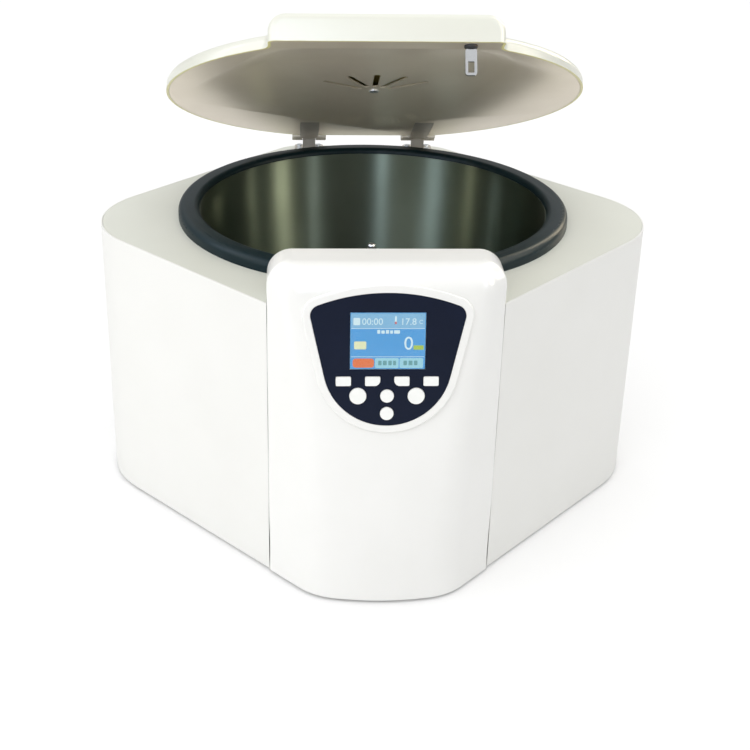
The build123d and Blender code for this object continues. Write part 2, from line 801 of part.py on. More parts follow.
screen_face = bead_proud - overlay_thick
with BuildPart() as lcd_module:
    with BuildSketch(panel_level(board_face)):
        add(screen_outline(screen_lip))
    extrude(amount=module_depth)
    with BuildSketch(panel_level(-panel_skin)):
        add(screen_outline())
    extrude(amount=panel_skin + screen_face)
save(lcd_module, "lcd_module")

with BuildPart() as display_window:
    with BuildSketch(panel_level(screen_face)):
        add(screen_outline())
    extrude(amount=window_thick)
save(display_window, "display_window")

key_back = -panel_skin - key_gap / 3
stem_end = board_face + key_travel + 2.0
with BuildPart() as control_board:
    with BuildSketch(panel_level(board_face - board_thick)):
        with Locations((0, board_middle)):
            RectangleRounded(board_width, board_height, pillar_radius)
    extrude(amount=board_thick)
    with BuildSketch(panel_level(board_face)):
        for shape, x, up, scoop in keys.values():
            with Locations((x, up)):
                Rectangle(switch_size, switch_size)
    extrude(amount=stem_end - key_travel - key_gap / 3 - board_face)
save(control_board, "control_board")

for name in keys:
    with BuildPart() as key:
        with BuildSketch(panel_level(key_back)):
            add(key_outline(name))
        extrude(amount=bead_proud + key_proud - key_back)
        with BuildSketch(panel_level(key_back - key_flange_thick)):
            add(key_outline(name, key_flange))
        extrude(amount=key_flange_thick)
        with BuildSketch(panel_level(stem_end)):
            shape, x, up, scoop = keys[name]
            with Locations((x, up)):
                Circle(key_stem)
        extrude(amount=key_back - key_flange_thick - stem_end)
    save(key, name)

# ================================================================ lid
hinge_plane = Plane((0, axis_y + hinge_y, hinge_z)).rotated((-lid_open, 0, 0))


def lid_level(height, x=0.0, y=0.0):
    """A plane of the open lid, where height and place are those that the closed lid has."""
    origin = hinge_plane.from_local_coords((x, y - hinge_y, height - hinge_z))
    return Plane(origin, x_dir=hinge_plane.x_dir, z_dir=hinge_plane.z_dir)


def lid_across(x, y=0.0, height=0.0):
    """A plane of the open lid seen from the right: its own X points back and its own Y points up."""
    origin = hinge_plane.from_local_coords((x, y - hinge_y, height - hinge_z))
    return Plane(origin, x_dir=hinge_plane.y_dir, z_dir=hinge_plane.x_dir)


def lid_outline(inset=0.0, corner=tab_corner):
    """The lid's plan: a round cut flat at the back, with the tab at its front."""
    radius, half, front = lid_radius - inset, tab_half - inset, tab_front + inset
    chord = lid_chord - inset
    with BuildSketch() as outline:
        Circle(radius)
        with Locations((0, front / 2)):
            Rectangle(2 * half, -front)
        with Locations((0, chord + radius), (0, front - radius)):
            Rectangle(2 * radius, 2 * radius, mode=Mode.SUBTRACT)
        sides = [v for v in outline.vertices() if abs(abs(v.X) - half) < 0.01]
        fillet([v for v in sides if front + 1 < v.Y < 0], radius=tab_throat + inset)
        corners = [v for v in outline.vertices() if abs(abs(v.X) - half) < 0.01 and v.Y < front + 0.01]
        fillet(corners, radius=corner - inset / 2)
        ends = [v for v in outline.vertices() if v.Y > chord - 0.01]
        fillet(ends, radius=chord_corner - inset)
    return outline.sketch


def spine_outline(inset=0.0):
    """The raised stretch of the lid's top: it runs back from the tab and ends in a round."""
    half, front = tab_half - inset, tab_front + inset
    arc = spine_arc - inset
    foot_x, foot_y = arc * cos(spine_lean), -spine_centre + arc * sin(spine_lean)
    shoulder = front + tab_throat
    ease = ((0, 1), (-sin(spine_lean), cos(spine_lean)))
    with BuildSketch() as outline:
        with BuildLine():
            ThreePointArc((-foot_x, foot_y), (0, arc - spine_centre), (foot_x, foot_y))
            Spline((half, shoulder), (foot_x, foot_y), tangents=ease)
            Polyline((half, shoulder), (half, front), (-half, front), (-half, shoulder))
            Spline((-half, shoulder), (-foot_x, foot_y), tangents=(ease[0], (-ease[1][0], ease[1][1])))
        make_face()
    return outline.sketch


def at_height(builder, height, start=-lid_radius, end=lid_radius):
    """A lid piece's edges at a height whose middles lie between two places, front to back."""
    plane = lid_level(height)
    places = [(edge, plane.to_local_coords(edge.center())) for edge in builder.edges()]
    return [edge for edge, place in places if abs(place.Z) < 0.01 and start < place.Y < end]


def lid_form(inset=0.0):
    """The lid's moulded form: a flat round with a rounded rim, and the spine that rises out of it."""
    with BuildPart() as rim:
        with BuildSketch(lid_level(lid_underside)):
            add(lid_outline(inset, chord_corner))
        extrude(amount=lid_rim - inset)
        fillet(at_height(rim, lid_underside + lid_rim - inset), radius=lid_round - inset)
    with BuildPart() as form:
        with BuildSketch(lid_level(lid_underside)):
            add(spine_outline(inset))
        extrude(amount=tab_height - inset)
        top = lid_underside + tab_height - inset
        fillet(at_height(form, top, start=tab_front + tab_corner), radius=spine_round - inset)
        fillet(at_height(form, top, end=tab_front + tab_corner), radius=tab_round - inset)
        add(rim.part)
    return form.part


def dish_outline(margin=0.0):
    """The liner's pressed dish, which like the control overlay is a shield, its round foot to the back."""
    crown = (dish_crown, dish_crown_radius, dish_corner)
    return shield_outline(dish_arc, dish_centre, dish_lean, *crown, margin).rotate(Axis.Z, 180)


boss_circle = lid_radius - boss_inset
rim_bosses, tab_bosses = [], []
for side in (-1, 1):
    for turn in boss_turns:
        rim_bosses.append((side * boss_circle * cos(radians(turn)), boss_circle * sin(radians(turn))))
    tab_bosses.append((side * (tab_half - tab_boss_inset), tab_front + tab_boss_setback))
liner_top = lid_underside + liner_sheet
strap_top = lid_underside + strap_thick
strap_middle = (strap_start + hinge_y) / 2
with BuildPart() as lid_cover:
    add(lid_form())
    add(lid_form(lid_wall), mode=Mode.SUBTRACT)
    for places, top in ((rim_bosses, lid_rim - lid_wall), (tab_bosses, tab_height - lid_wall)):
        with BuildSketch(lid_level(liner_top)):
            with Locations(*places):
                Circle(boss_radius)
        extrude(amount=top - liner_sheet)
    with BuildSketch(lid_level(strap_top)):
        with Locations(*((side * hinge_x, (strap_start + lid_chord) / 2) for side in (-1, 1))):
            Rectangle(strap_width, lid_chord - strap_start - 2 * lid_wall)
    extrude(amount=lid_rim - lid_wall - strap_thick)
    with BuildSketch(lid_level(lid_underside)):
        with Locations(*((side * hinge_x, strap_middle) for side in (-1, 1))):
            Rectangle(strap_width + 2 * liner_gap, hinge_y - strap_start + 2 * liner_gap)
    extrude(amount=strap_thick, mode=Mode.SUBTRACT)
save(lid_cover, "lid_cover")

with BuildPart() as lid_liner:
    with BuildSketch(lid_level(lid_underside)):
        add(lid_outline(lid_wall + liner_gap))
    extrude(amount=liner_sheet)
    for bottom, mode in ((liner_sheet, Mode.ADD), (0.0, Mode.SUBTRACT)):
        with BuildSketch(lid_level(lid_underside + bottom)):
            add(dish_outline())
        with BuildSketch(lid_level(lid_underside + bottom + dish_depth)):
            add(dish_outline(-dish_slope))
        loft(ruled=True, mode=mode)
    with BuildSketch(lid_level(lid_underside)):
        for turn in slot_turns:
            middle = slot_start + slot_length / 2
            with Locations((middle * sin(radians(turn)), -middle * cos(radians(turn)))):
                SlotOverall(slot_length, slot_width, rotation=90 + turn)
        Circle(rivet_radius / 2)
        with Locations(*((side * hinge_x, strap_middle) for side in (-1, 1))):
            Rectangle(strap_width + 2 * liner_gap, hinge_y - strap_start + 2 * liner_gap)
    extrude(amount=dish_depth + 2 * liner_sheet, mode=Mode.SUBTRACT)
save(lid_liner, "lid_liner")

dish_floor = lid_underside + dish_depth
with BuildPart() as liner_rivet:
    with BuildSketch(lid_level(dish_floor)):
        Circle(rivet_radius)
    extrude(amount=-liner_sheet)
    fillet(liner_rivet.edges().sort_by(Axis.Z)[0], radius=liner_sheet / 2)
    with BuildSketch(lid_level(dish_floor)):
        Circle(rivet_radius / 2)
    extrude(amount=liner_sheet)
save(liner_rivet, "liner_rivet")

# ================================================================ hinges
knuckle_half = hinge_width / 2
knuckle_start = stem_width / 2 + knuckle_gap


def hinge_base(side):
    """The cabinet's half of a hinge: a foot on the deck and a stem with the middle knuckle."""
    x = side * hinge_x
    foot_top = deck_top + hinge_foot_thick
    with BuildPart() as base:
        with BuildSketch(level(deck_top, x, hinge_y)):
            RectangleRounded(hinge_foot_width, hinge_foot_depth, stem_thick / 2)
        extrude(amount=hinge_foot_thick)
        with BuildSketch(across(x, hinge_y, hinge_z)):
            Circle(knuckle_radius)
            with Locations((0, (foot_top - hinge_z) / 2)):
                Rectangle(stem_thick, hinge_z - foot_top)
        extrude(amount=stem_width / 2, both=True)
        with BuildSketch(across(x, hinge_y, hinge_z)):
            Circle(pin_radius + pin_clearance)
        extrude(amount=stem_width, both=True, mode=Mode.SUBTRACT)
        with BuildSketch(level(deck_top, x, hinge_y)):
            with Locations(*hinge_holes):
                Circle(screw_radius)
        extrude(amount=hinge_foot_thick, mode=Mode.SUBTRACT)
    return base


def hinge_strap(side):
    """The lid's half: a strap let into the liner, with a knuckle at each side of the stem."""
    x = side * hinge_x
    plate_end = hinge_y - strap_clear
    with BuildPart() as strap:
        with BuildSketch(lid_level(lid_underside, x, (strap_start + plate_end) / 2)):
            Rectangle(strap_width, plate_end - strap_start)
        extrude(amount=strap_thick)
        for way in (-1, 1):
            with BuildSketch(lid_across(x + way * knuckle_start, hinge_y, hinge_z)):
                Circle(knuckle_radius)
                with Locations((-strap_clear, lid_underside + strap_thick / 2 - hinge_z)):
                    Rectangle(2 * strap_clear, strap_thick)
                Circle(pin_radius, mode=Mode.SUBTRACT)
            extrude(amount=way * (knuckle_half - knuckle_start))
    return strap


hinge_holes = [(i * hinge_foot_width / 3, j * hinge_foot_depth / 4) for i in (-1, 1) for j in (-1, 1)]
for side, word in ((-1, "left"), (1, "right")):
    save(hinge_base(side), f"hinge_base_{word}")
    save(hinge_strap(side), f"hinge_strap_{word}")

with BuildPart() as hinge_pins:
    for side in (-1, 1):
        with BuildSketch(across(side * hinge_x, hinge_y, hinge_z)):
            Circle(pin_radius)
        extrude(amount=knuckle_half, both=True)
save(hinge_pins, "hinge_pins")


def screws(heads, grip):
    """Pan-head screws: each head sits on its plane, and its shank goes through the grip below."""
    with BuildPart() as group:
        for plane in heads:
            with BuildSketch(plane):
                Circle(screw_head)
            extrude(amount=screw_head_height, taper=12)
            with BuildSketch(plane):
                Circle(screw_radius)
            extrude(amount=-grip)
    return group


hinge_screw_heads = []
for side in (-1, 1):
    for x, y in hinge_holes:
        hinge_screw_heads.append(level(deck_top + hinge_foot_thick, side * hinge_x + x, hinge_y + y))
save(screws(hinge_screw_heads, hinge_foot_thick), "hinge_screws")

# ================================================================ lid lock
with BuildPart() as striker:
    with BuildSketch(lid_level(striker_foot, striker_x, striker_y)):
        Rectangle(striker_width, striker_thick)
    extrude(amount=lid_underside - stud_height - striker_foot)
    loop = striker.edges().filter_by(lambda edge: abs(edge.length - striker_thick) < 0.01)
    fillet(loop, radius=striker_rail)
    window = lid_level(bolt_z, striker_x, striker_y)
    with BuildSketch(Plane(window.origin, x_dir=window.x_dir, z_dir=-window.y_dir)):
        Rectangle(striker_width - 2 * striker_rail, striker_window)
    extrude(amount=striker_thick, both=True, mode=Mode.SUBTRACT)
save(striker, "striker")

with BuildPart() as striker_stud:
    with BuildSketch(lid_level(lid_underside, striker_x, striker_y)):
        Circle(stud_radius)
    extrude(amount=-stud_height)
    fillet(striker_stud.edges().group_by(Axis.Z)[0], radius=stud_height / 2)
save(striker_stud, "striker_stud")

with BuildPart() as lock_frame:
    with BuildSketch(level(lock_top, striker_x, (lock_front + lock_back) / 2)):
        RectangleRounded(lock_width, lock_back - lock_front, screw_radius)
    extrude(amount=-lock_height)
    with BuildSketch(level(lock_top, striker_x, striker_y)):
        Rectangle(slot_x, slot_y)
    extrude(amount=-lock_height, mode=Mode.SUBTRACT)
    with BuildSketch(upright(lock_front, striker_x, bolt_z)):
        Circle(bolt_radius + shaft_clearance)
    extrude(amount=lock_back - lock_front, mode=Mode.SUBTRACT)
save(lock_frame, "lock_frame")

with BuildPart() as lock_solenoid:
    with BuildSketch(upright(lock_front, striker_x, bolt_z, facing=-1)):
        Circle(solenoid_radius)
        Circle(bolt_radius + shaft_clearance, mode=Mode.SUBTRACT)
    extrude(amount=solenoid_length)
save(lock_solenoid, "lock_solenoid")

bolt_tip = striker_y - slot_y / 2 - bolt_setback
with BuildPart() as lock_bolt:
    with BuildSketch(upright(bolt_tip, striker_x, bolt_z, facing=-1)):
        Circle(bolt_radius)
    extrude(amount=bolt_length)
save(lock_bolt, "lock_bolt")

# ================================================================ rotor
disc_top = rotor_disc_bottom + rotor_disc_thick
shaft_top = disc_top + shaft_reach
rim_inner = rotor_rim_radius - rotor_rim_wall
spin_axis = Axis((0, axis_y, 0), (0, 0, 1))
with BuildPart() as rotor_shaft:
    with BuildSketch(across(0)):
        Polygon(
            (0, motor_bottom), (shaft_radius, motor_bottom), (shaft_radius, rotor_disc_bottom),
            (shaft_radius - shaft_tip, shaft_top), (0, shaft_top), align=None,
        )
    revolve(axis=spin_axis)
save(rotor_shaft, "rotor_shaft")

with BuildPart() as rotor_body:
    with BuildSketch(across(0)):
        with BuildLine():
            FilletPolyline(
                (rim_inner, rotor_disc_bottom + rotor_rim_height), (rim_inner, disc_top),
                (rotor_hub, disc_top), (rotor_hub, rotor_hub_top),
                radius=(0, rotor_disc_thick),
            )
            Polyline(
                (rotor_hub, rotor_hub_top), (0, rotor_hub_top), (0, shaft_top),
                (shaft_radius - shaft_tip, shaft_top), (shaft_radius, rotor_disc_bottom),
                (rotor_rim_radius, rotor_disc_bottom),
                (rotor_rim_radius, rotor_disc_bottom + rotor_rim_height),
                (rim_inner, rotor_disc_bottom + rotor_rim_height),
            )
        make_face()
    revolve(axis=spin_axis)
    with BuildSketch(level(rotor_disc_bottom)):
        with PolarLocations(port_circle_radius, rotor_places):
            Circle(rotor_port)
    extrude(amount=rotor_disc_thick, mode=Mode.SUBTRACT)
save(rotor_body, "rotor_body")

with BuildPart() as rotor_knob:
    with BuildSketch(across(0)):
        knob_top = rotor_hub_top + knob_height
        with BuildLine():
            FilletPolyline(
                (0, knob_top), (knob_neck, knob_top), (knob_neck, knob_top - knob_height / 4),
                (knob_radius, knob_top - knob_height / 2), (knob_radius, rotor_hub_top), (0, rotor_hub_top),
                radius=(0, knob_height / 8, knob_height / 16, 0),
            )
            Line((0, rotor_hub_top), (0, knob_top))
        make_face()
    revolve(axis=spin_axis)
    with BuildSketch(level(rotor_hub_top)):
        with PolarLocations(knob_radius + knob_flute_radius / 2, knob_flutes):
            Circle(knob_flute_radius)
    extrude(amount=knob_height, mode=Mode.SUBTRACT)
save(rotor_knob, "rotor_knob")

with BuildPart() as knob_cap:
    with BuildSketch(level(knob_top)):
        Circle(cap_radius)
    extrude(amount=cap_height)
    fillet(knob_cap.edges().group_by(Axis.Z)[-1], radius=cap_radius * 0.8)
save(knob_cap, "knob_cap")

# One sample place, drawn on the +X side: the clip stands against the rim, with the slide and the
# funnel's plate between its back and its lips.
clip_back = sqrt((rim_inner - clip_seat) ** 2 - (clip_width / 2) ** 2)
slide_back = clip_back - clip_sheet
plate_back = slide_back - slide_thick
clip_front = plate_back - funnel_plate_thick - clip_sheet
with BuildPart() as clip:
    with BuildSketch(level(disc_top)):
        with Locations(((clip_back + clip_front) / 2, 0)):
            Rectangle(clip_back - clip_front, clip_width)
        with Locations(((slide_back + clip_front + clip_sheet) / 2, 0)):
            Rectangle(slide_back - clip_front - clip_sheet, clip_width - 2 * clip_sheet, mode=Mode.SUBTRACT)
        with Locations((clip_front, 0)):
            Rectangle(3 * clip_sheet, clip_width - 2 * clip_sheet - 2 * clip_lip, mode=Mode.SUBTRACT)
    extrude(amount=clip_height)

with BuildPart() as slide:
    with BuildSketch(level(disc_top)):
        with Locations(((slide_back + plate_back) / 2, 0)):
            Rectangle(slide_thick, slide_width)
    extrude(amount=slide_height)

cup_x = plate_back - funnel_set_in
spout_z = disc_top + funnel_height
cup_axis = Axis((cup_x, axis_y, 0), (0, 0, 1))


def cup_solid(wall):
    """The funnel's cup and spout, grown by wall round their bore."""
    well, mouth = funnel_well + wall, funnel_mouth + wall
    with BuildPart() as cup:
        with BuildSketch(across(cup_x, 0, spout_z)):
            Polygon(
                (0, -well), (well, -well), (well, well), (mouth, funnel_cup / 2),
                (mouth, funnel_cup), (0, funnel_cup), align=None,
            )
        revolve(axis=cup_axis)
        with BuildSketch(across(cup_x, 0, spout_z)):
            Circle(funnel_bore + wall)
        extrude(amount=funnel_set_in)
    return cup.part


with BuildPart() as funnel:
    with BuildSketch(across(plate_back, 0, spout_z)):
        Rectangle(funnel_plate, funnel_plate)
    extrude(amount=-funnel_plate_thick)
    add(cup_solid(funnel_wall))
    add(cup_solid(0), mode=Mode.SUBTRACT)

for piece, name in ((clip, "slide_clips"), (slide, "glass_slides"), (funnel, "sample_funnels")):
    with BuildPart() as ring:
        for place in range(rotor_places):
            add(piece.part.rotate(spin_axis, place * 360 / rotor_places))
    save(ring, name)

# ================================================================ back
grille_hole = (grille_width - 2 * grille_frame, grille_height - 2 * grille_frame)
with BuildPart() as vent_grille:
    with BuildSketch(upright(back_reach, height=grille_z)):
        RectangleRounded(grille_width, grille_height, grille_frame / 2)
    extrude(amount=grille_proud)
    fillet(vent_grille.edges().group_by(Axis.Y)[-1], radius=grille_proud / 3)
    with BuildSketch(upright(back_reach, height=grille_z)):
        Rectangle(*(size - 2 * gap for size in grille_hole))
    extrude(amount=-grille_depth)
    with BuildSketch(upright(back_reach + grille_proud, height=grille_z)):
        Rectangle(*(size - 2 * gap - 2 * slat_thick for size in grille_hole))
    extrude(amount=-grille_depth - grille_proud, mode=Mode.SUBTRACT)
    pitch = grille_hole[1] / (grille_slats + 1)
    slat_start = -grille_hole[0] / 2 + slat_thick
    with BuildSketch(across(slat_start, back_reach + (grille_proud - grille_depth) / 2, grille_z)):
        with GridLocations(0, pitch, 1, grille_slats):
            Rectangle(grille_depth + grille_proud, slat_thick, rotation=-30)
    extrude(amount=grille_hole[0] - 2 * slat_thick)
save(vent_grille, "vent_grille")

inlet_floor = back_reach - inlet_depth + slat_thick
with BuildPart() as power_inlet:
    with BuildSketch(upright(back_reach, inlet_x, inlet_z)):
        RectangleRounded(*inlet_flange, inlet_proud)
    extrude(amount=inlet_proud)
    with BuildSketch(upright(back_reach, inlet_x, inlet_z)):
        Rectangle(*inlet_body)
    extrude(amount=-inlet_depth)
    with BuildSketch(upright(inlet_floor, inlet_x, inlet_z)):
        RectangleRounded(*inlet_mouth, inlet_proud)
    extrude(amount=inlet_depth + inlet_proud, mode=Mode.SUBTRACT)
save(power_inlet, "power_inlet")

with BuildPart() as inlet_pins:
    with BuildSketch(upright(inlet_floor, inlet_x, inlet_z)):
        with Locations(*pin_places):
            Rectangle(inlet_pin[1], inlet_pin[0])
    extrude(amount=inlet_pin_length)
save(inlet_pins, "inlet_pins")

rocker_y = back_reach - rocker_set_back
with BuildPart() as switch_frame:
    with BuildSketch(upright(back_reach, switch_x, inlet_z)):
        RectangleRounded(*switch_flange, inlet_proud / 2)
    extrude(amount=switch_proud)
    with BuildSketch(upright(back_reach, switch_x, inlet_z)):
        Rectangle(*switch_body)
    extrude(amount=-switch_depth)
    with BuildSketch(upright(back_reach - switch_depth + slat_thick, switch_x, inlet_z)):
        Rectangle(*switch_mouth)
    extrude(amount=switch_depth + switch_proud, mode=Mode.SUBTRACT)
    with BuildSketch(across(switch_x, rocker_y, inlet_z)):
        Circle(rocker_pin + pin_clearance)
    extrude(amount=switch_mouth[0] / 2 + rocker_pin, both=True, mode=Mode.SUBTRACT)
save(switch_frame, "switch_frame")

with BuildPart() as power_rocker:
    half_z, half_x = switch_mouth[1] / 2 - 2 * rocker_gap, switch_mouth[0] / 2 - rocker_gap
    tilted = across(switch_x, rocker_y, inlet_z).rotated((rocker_tilt, 0, 0))
    with BuildSketch(tilted):
        Polygon(
            (rocker_face - rocker_dip, 0), (rocker_face, half_z), (rocker_face - rocker_depth / 2, half_z),
            (rocker_face - rocker_depth, half_z / 3), (rocker_face - rocker_depth, -half_z / 3),
            (rocker_face - rocker_depth / 2, -half_z), (rocker_face, -half_z), align=None,
        )
    extrude(amount=half_x, both=True)
    with BuildSketch(tilted):
        Circle(rocker_pin)
    extrude(amount=half_x + rocker_gap + rocker_pin, both=True)
save(power_rocker, "power_rocker")

rear_screw_heads = [upright(back_reach, x, height) for x, height in rear_screw_places]
save(screws(rear_screw_heads, sheet), "rear_screws")

# ================================================================ electronics
drive_bottom = base_bottom + base_thick + drive_rise
with BuildPart() as drive_board:
    with BuildSketch(level(drive_bottom, 0, drive_y)):
        Rectangle(*drive_size)
    extrude(amount=board_thick)
    with BuildSketch(level(drive_bottom, 0, drive_y)):
        with GridLocations(drive_size[0] - 4 * pillar_radius, drive_size[1] - 4 * pillar_radius, 2, 2):
            Circle(pillar_radius)
    extrude(amount=-drive_rise)
save(drive_board, "drive_board")

with BuildPart() as heat_sink:
    with BuildSketch(level(drive_bottom + board_thick, 0, drive_y)):
        Rectangle(*sink_size)
    extrude(amount=sink_base)
    with BuildSketch(level(drive_bottom + board_thick, 0, drive_y)):
        with GridLocations((sink_size[0] - slat_thick) / (sink_fins - 1), 0, sink_fins, 1):
            Rectangle(slat_thick, sink_size[1])
    extrude(amount=sink_height)
save(heat_sink, "heat_sink")
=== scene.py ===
import json
from math import cos, pi, radians, sin

import bmesh
import bpy
from mathutils import Matrix, Vector


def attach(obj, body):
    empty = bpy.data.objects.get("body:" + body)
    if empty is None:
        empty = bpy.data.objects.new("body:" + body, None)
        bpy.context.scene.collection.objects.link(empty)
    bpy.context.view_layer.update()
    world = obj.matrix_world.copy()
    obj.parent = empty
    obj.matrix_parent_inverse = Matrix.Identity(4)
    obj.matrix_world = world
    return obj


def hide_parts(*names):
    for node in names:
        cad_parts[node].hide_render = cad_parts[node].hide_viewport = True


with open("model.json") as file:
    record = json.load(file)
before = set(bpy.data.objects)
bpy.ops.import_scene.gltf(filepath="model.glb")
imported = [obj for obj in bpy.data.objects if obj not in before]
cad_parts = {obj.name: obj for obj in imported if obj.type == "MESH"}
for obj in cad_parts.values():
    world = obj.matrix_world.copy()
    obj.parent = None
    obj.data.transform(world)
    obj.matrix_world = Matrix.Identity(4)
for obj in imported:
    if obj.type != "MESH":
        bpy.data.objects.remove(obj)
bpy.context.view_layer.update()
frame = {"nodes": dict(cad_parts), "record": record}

nodes = frame["nodes"]
mm = 0.001
print("frame loaded:", len(nodes), "nodes")


# Place in millimetres, turns in degrees.
camera = {
    "place": (-80.71, -1312.42, 765.64),
    "down": 26.02,
    "turn": 2.217,
    "roll": 0.894,
    "lens": 64.34,
    "shift": (0.0429, -0.0190),
    "reach": 50,  # metres
}


def addCamera():
    down, turn, roll = (radians(camera[key]) for key in ("down", "turn", "roll"))
    forward = Vector((sin(turn) * cos(down), cos(turn) * cos(down), -sin(down)))
    side = Vector((cos(turn), -sin(turn), 0))
    up = side.cross(forward)
    right = side * cos(roll) + up * sin(roll)
    top = up * cos(roll) - side * sin(roll)
    lens = bpy.data.cameras.new("camera")
    lens.lens = camera["lens"]
    lens.shift_x, lens.shift_y = camera["shift"]
    lens.clip_end = camera["reach"]
    holder = bpy.data.objects.new("camera", lens)
    bpy.context.scene.collection.objects.link(holder)
    aim = Matrix((right, top, -forward)).transposed().to_4x4()
    holder.matrix_world = Matrix.Translation(Vector(camera["place"]) * mm) @ aim
    bpy.context.scene.camera = holder


addCamera()
print("camera placed")


def toLinear(hexColour):
    channels = [int(hexColour[i:i + 2], 16) / 255 for i in (1, 3, 5)]
    return tuple(c / 12.92 if c <= 0.04045 else ((c + 0.055) / 1.055) ** 2.4 for c in channels) + (1,)


def addNode(tree, kind, settings=None, links=None):
    node = tree.nodes.new(kind)
    for name, value in (settings or {}).items():
        if isinstance(name, int) or name in node.inputs:
            node.inputs[name].default_value = value
        else:
            setattr(node, name, value)
    for name, socket in (links or {}).items():
        tree.links.new(socket, node.inputs[name])
    return node


